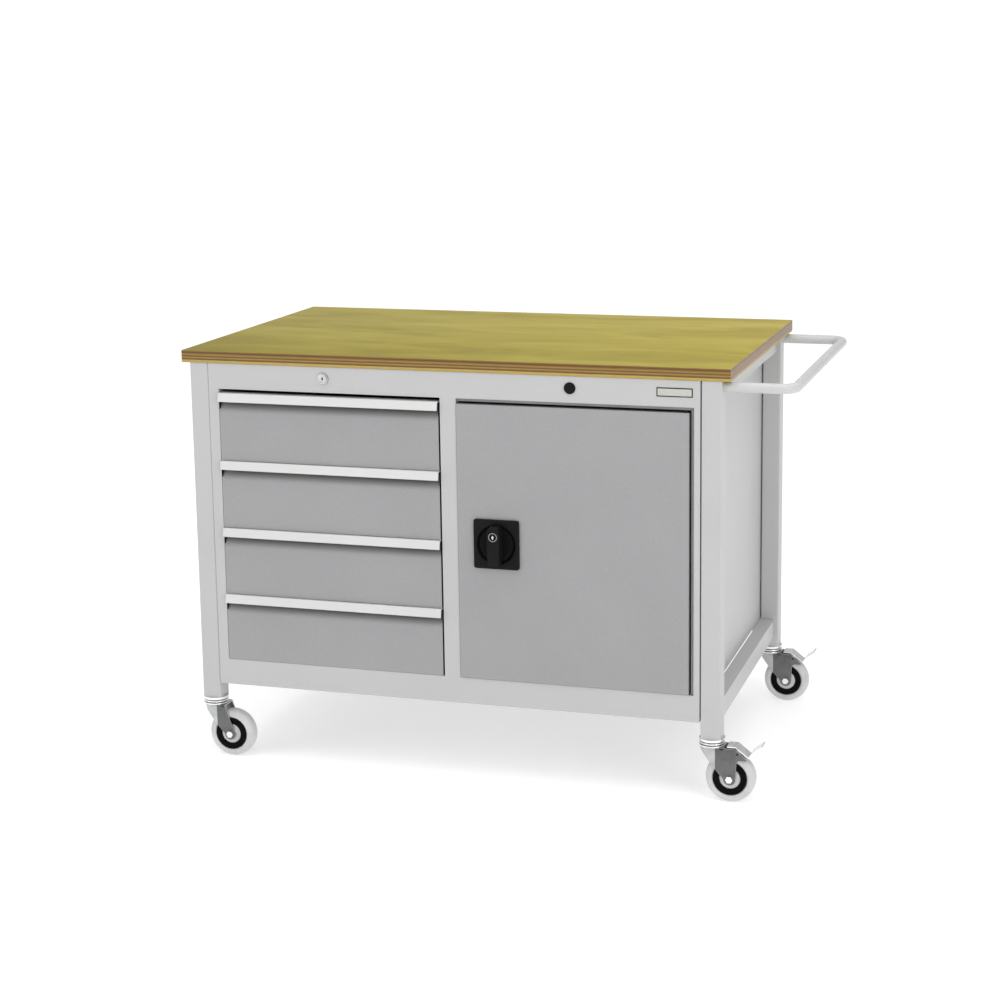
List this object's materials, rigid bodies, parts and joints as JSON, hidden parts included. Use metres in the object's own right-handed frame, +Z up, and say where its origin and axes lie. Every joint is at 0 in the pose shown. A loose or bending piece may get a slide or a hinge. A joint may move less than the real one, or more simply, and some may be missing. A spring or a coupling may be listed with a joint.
{
  "type": "workbench with drawers",
  "caption": "Mobile workbench with plywood top, stacked drawers, hinged cupboard door with turn-knob lock, side push handle and swivel casters, rear of casing closed.",
  "frame": {"origin": "on the floor, under the middle of the whole bench's box, push handle and door knob included", "axes": "+X to the user's right along the worktop, towards the push handle; -Y to the front, where the drawers and door are; +Z up"},
  "size_m": [1.268, 0.728, 0.865],
  "materials": {
    "plywood": "lacquered birch plywood, satin, yellow-green tint, layered brown edge",
    "frame_paint": "light grey powder coat, fine texture",
    "front_grey": "mid grey powder coat, fine texture",
    "grip_white": "near-white painted strip, satin",
    "handle_paint": "light grey powder coat, smooth",
    "tray_paint": "light grey powder coat inside",
    "black_plastic": "moulded black plastic, fine grain",
    "cover_black": "black plastic thread guard",
    "wheel_nylon": "light grey nylon, satin",
    "zinc_steel": "bright zinc plated pressed steel",
    "lock_metal": "plated lock face",
    "nameplate": "blank plate with a thin dark border"
  },
  "bodies": {
    "root": {"worktop": "plywood", "leg_frame_left": "frame_paint", "leg_frame_right": "frame_paint", "push_handle": "handle_paint", "face_frame": "frame_paint", "casing_side_left": "frame_paint", "casing_side_right": "frame_paint", "casing_back": "frame_paint", "casing_floor": "frame_paint", "casing_divider": "frame_paint", "casing_roof": "frame_paint", "casing_bolts": "zinc_steel", "shelf": "frame_paint", "shelf_pegs": "zinc_steel", "drawer_lock_bezel": "lock_metal", "blanking_plug": "black_plastic", "nameplate": "nameplate", "fixed_runners": "zinc_steel", "door_pivots": "zinc_steel", "caster_stems": "zinc_steel"},
    "drawer_1": {"drawer_1_front": "front_grey", "drawer_1_grip": "grip_white", "drawer_1_tray": "tray_paint", "drawer_1_runners": "zinc_steel"},
    "drawer_2": {"drawer_2_front": "front_grey", "drawer_2_grip": "grip_white", "drawer_2_tray": "tray_paint", "drawer_2_runners": "zinc_steel"},
    "drawer_3": {"drawer_3_front": "front_grey", "drawer_3_grip": "grip_white", "drawer_3_tray": "tray_paint", "drawer_3_runners": "zinc_steel"},
    "drawer_4": {"drawer_4_front": "front_grey", "drawer_4_grip": "grip_white", "drawer_4_tray": "tray_paint", "drawer_4_runners": "zinc_steel"},
    "drawer_lock": {"drawer_lock_core": "lock_metal"},
    "door": {"door_panel": "front_grey", "door_lock_plate": "black_plastic"},
    "door_knob": {"door_knob": "black_plastic", "door_latch_cam": "zinc_steel"},
    "door_key": {"door_key_core": "lock_metal"},
    "caster_front_left": {"caster_front_left_fork": "zinc_steel", "caster_front_left_axle": "zinc_steel"},
    "caster_front_left_wheel": {"caster_front_left_wheel": "wheel_nylon", "caster_front_left_covers": "cover_black"},
    "caster_front_right": {"caster_front_right_fork": "zinc_steel", "caster_front_right_axle": "zinc_steel"},
    "caster_front_right_wheel": {"caster_front_right_wheel": "wheel_nylon", "caster_front_right_covers": "cover_black"},
    "caster_front_right_brake": {"caster_front_right_brake": "zinc_steel"},
    "caster_rear_left": {"caster_rear_left_fork": "zinc_steel", "caster_rear_left_axle": "zinc_steel"},
    "caster_rear_left_wheel": {"caster_rear_left_wheel": "wheel_nylon", "caster_rear_left_covers": "cover_black"},
    "caster_rear_right": {"caster_rear_right_fork": "zinc_steel", "caster_rear_right_axle": "zinc_steel"},
    "caster_rear_right_wheel": {"caster_rear_right_wheel": "wheel_nylon", "caster_rear_right_covers": "cover_black"},
    "caster_rear_right_brake": {"caster_rear_right_brake": "zinc_steel"}
  },
  "joints": [
    {"name": "drawer_1_slide", "type": "slide", "parent": "root", "child": "drawer_1", "axis": [0, -1, 0], "range_m": [0, 0.48]},
    {"name": "drawer_2_slide", "type": "slide", "parent": "root", "child": "drawer_2", "axis": [0, -1, 0], "range_m": [0, 0.48]},
    {"name": "drawer_3_slide", "type": "slide", "parent": "root", "child": "drawer_3", "axis": [0, -1, 0], "range_m": [0, 0.48]},
    {"name": "drawer_4_slide", "type": "slide", "parent": "root", "child": "drawer_4", "axis": [0, -1, 0], "range_m": [0, 0.48]},
    {"name": "drawer_lock_turn", "type": "hinge", "parent": "root", "child": "drawer_lock", "pos_m": [-0.3252, -0.334, 0.8165], "axis": [0, 1, 0], "range_deg": [0, 90]},
    {"name": "door_hinge", "type": "hinge", "parent": "root", "child": "door", "pos_m": [0.4174, -0.328, 0.4962], "axis": [0, 0, 1], "range_deg": [0, 110]},
    {"name": "door_knob_turn", "type": "hinge", "parent": "door", "child": "door_knob", "pos_m": [0.037, -0.336, 0.497], "axis": [0, 1, 0], "range_deg": [0, 90]},
    {"name": "door_key_turn", "type": "hinge", "parent": "door_knob", "child": "door_key", "pos_m": [0.037, -0.364, 0.517], "axis": [0, 1, 0], "range_deg": [0, 90]},
    {"name": "caster_front_left_swivel", "type": "hinge", "parent": "root", "child": "caster_front_left", "pos_m": [-0.597, -0.314, 0.112], "axis": [0, 0, 1], "continuous": true},
    {"name": "caster_front_left_spin", "type": "hinge", "parent": "caster_front_left", "child": "caster_front_left_wheel", "pos_m": [-0.559, -0.314, 0.05], "axis": [0, 1, 0], "continuous": true},
    {"name": "caster_front_right_swivel", "type": "hinge", "parent": "root", "child": "caster_front_right", "pos_m": [0.469, -0.314, 0.112], "axis": [0, 0, 1], "continuous": true},
    {"name": "caster_front_right_spin", "type": "hinge", "parent": "caster_front_right", "child": "caster_front_right_wheel", "pos_m": [0.507, -0.314, 0.05], "axis": [0, 1, 0], "continuous": true},
    {"name": "caster_front_right_brake_press", "type": "hinge", "parent": "caster_front_right", "child": "caster_front_right_brake", "pos_m": [0.523, -0.314, 0.1025], "axis": [0, 1, 0], "range_deg": [0, 9]},
    {"name": "caster_rear_left_swivel", "type": "hinge", "parent": "root", "child": "caster_rear_left", "pos_m": [-0.597, 0.336, 0.112], "axis": [0, 0, 1], "continuous": true},
    {"name": "caster_rear_left_spin", "type": "hinge", "parent": "caster_rear_left", "child": "caster_rear_left_wheel", "pos_m": [-0.559, 0.336, 0.05], "axis": [0, 1, 0], "continuous": true},
    {"name": "caster_rear_right_swivel", "type": "hinge", "parent": "root", "child": "caster_rear_right", "pos_m": [0.469, 0.336, 0.112], "axis": [0, 0, 1], "continuous": true},
    {"name": "caster_rear_right_spin", "type": "hinge", "parent": "caster_rear_right", "child": "caster_rear_right_wheel", "pos_m": [0.507, 0.336, 0.05], "axis": [0, 1, 0], "continuous": true},
    {"name": "caster_rear_right_brake_press", "type": "hinge", "parent": "caster_rear_right", "child": "caster_rear_right_brake", "pos_m": [0.523, 0.336, 0.1025], "axis": [0, 1, 0], "range_deg": [0, 9]}
  ]
}
